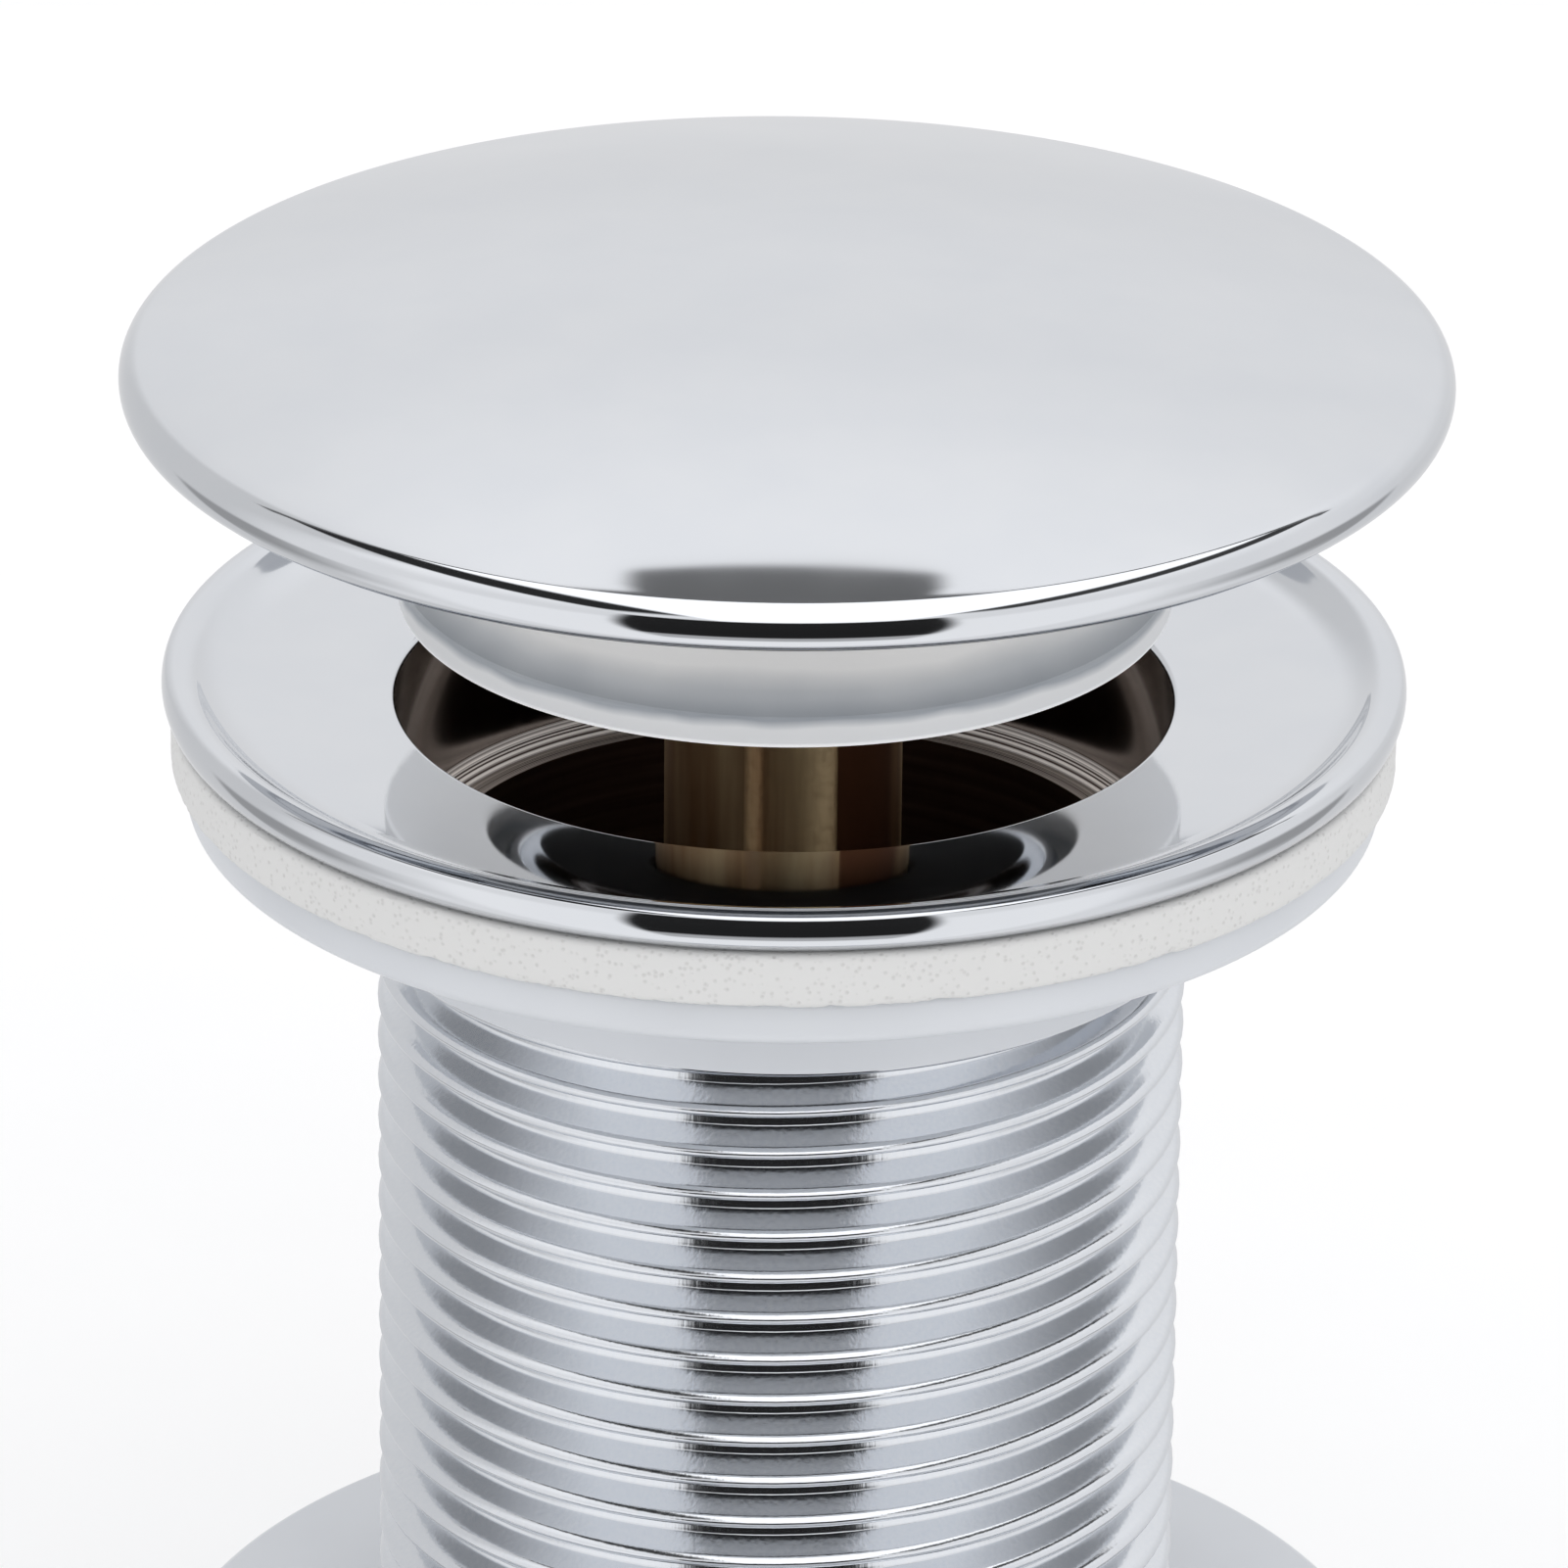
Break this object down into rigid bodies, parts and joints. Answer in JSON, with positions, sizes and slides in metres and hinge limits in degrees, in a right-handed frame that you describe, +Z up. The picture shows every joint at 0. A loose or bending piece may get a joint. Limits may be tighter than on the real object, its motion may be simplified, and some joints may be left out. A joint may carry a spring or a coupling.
{
  "type": "pop up basin waste",
  "caption": "Chromed pop up basin waste: domed push cap with a clear bell seal over a dished flange, threaded tube, foam and clear washers, spring cartridge inside and a backnut below.",
  "frame": {"origin": "on the axis, at the lower end of the tail", "axes": "+Z up the axis, from the tail to the crown of the cap; X and Y across it"},
  "size_m": [0.0676, 0.0676, 0.1035],
  "materials": {
    "chrome": "polished chrome plating on brass",
    "brass": "bare turned brass, a little tarnished",
    "steel": "drawn stainless steel",
    "foam": "white closed cell foam with open pores at the cut edge",
    "clear_washer": "milky translucent polythene",
    "silicone": "glossy translucent silicone",
    "acetal": "moulded white acetal"
  },
  "bodies": {
    "waste_body": {"body": "chrome", "foam_washer": "foam", "clear_washer": "clear_washer", "centre_stud": "brass", "stud_locknut": "brass", "spring": "steel"},
    "stopper": {"cap": "chrome", "cap_seal": "silicone", "seal_plate": "chrome", "barrel": "brass", "barrel_bush": "acetal", "snap_ring": "steel"},
    "indexer": {"index_ring": "acetal", "index_pin": "steel"},
    "clamp_washer": {"lower_washer": "clear_washer"},
    "clamp_nut": {"backnut": "chrome"}
  },
  "joints": [
    {"name": "press", "type": "slide", "parent": "waste_body", "child": "stopper", "axis": [0, 0, 1], "range_m": [-0.014, 0], "stiffness_N_per_m": 600, "springref_m": 0.01, "deforming": ["spring"]},
    {"name": "index_turn", "type": "hinge", "parent": "stopper", "child": "indexer", "pos_m": [0, 0, 0.06046], "axis": [0, 0, 1], "range_deg": [0, 45.1]},
    {"name": "clamp_slide", "type": "slide", "parent": "waste_body", "child": "clamp_washer", "axis": [0, 0, 1], "range_m": [-0.0081, 0.0453]},
    {"name": "nut_spin", "type": "hinge", "parent": "clamp_washer", "child": "clamp_nut", "pos_m": [0, 0, 0.016], "axis": [0, 0, 1], "range_deg": [-1247, 7040]}
  ],
  "couplings": [
    {"joint": "index_turn", "follows": "press", "rad_per_m": -56.1},
    {"joint": "clamp_slide", "follows": "nut_spin", "m_per_rad": 0.00036749}
  ]
}
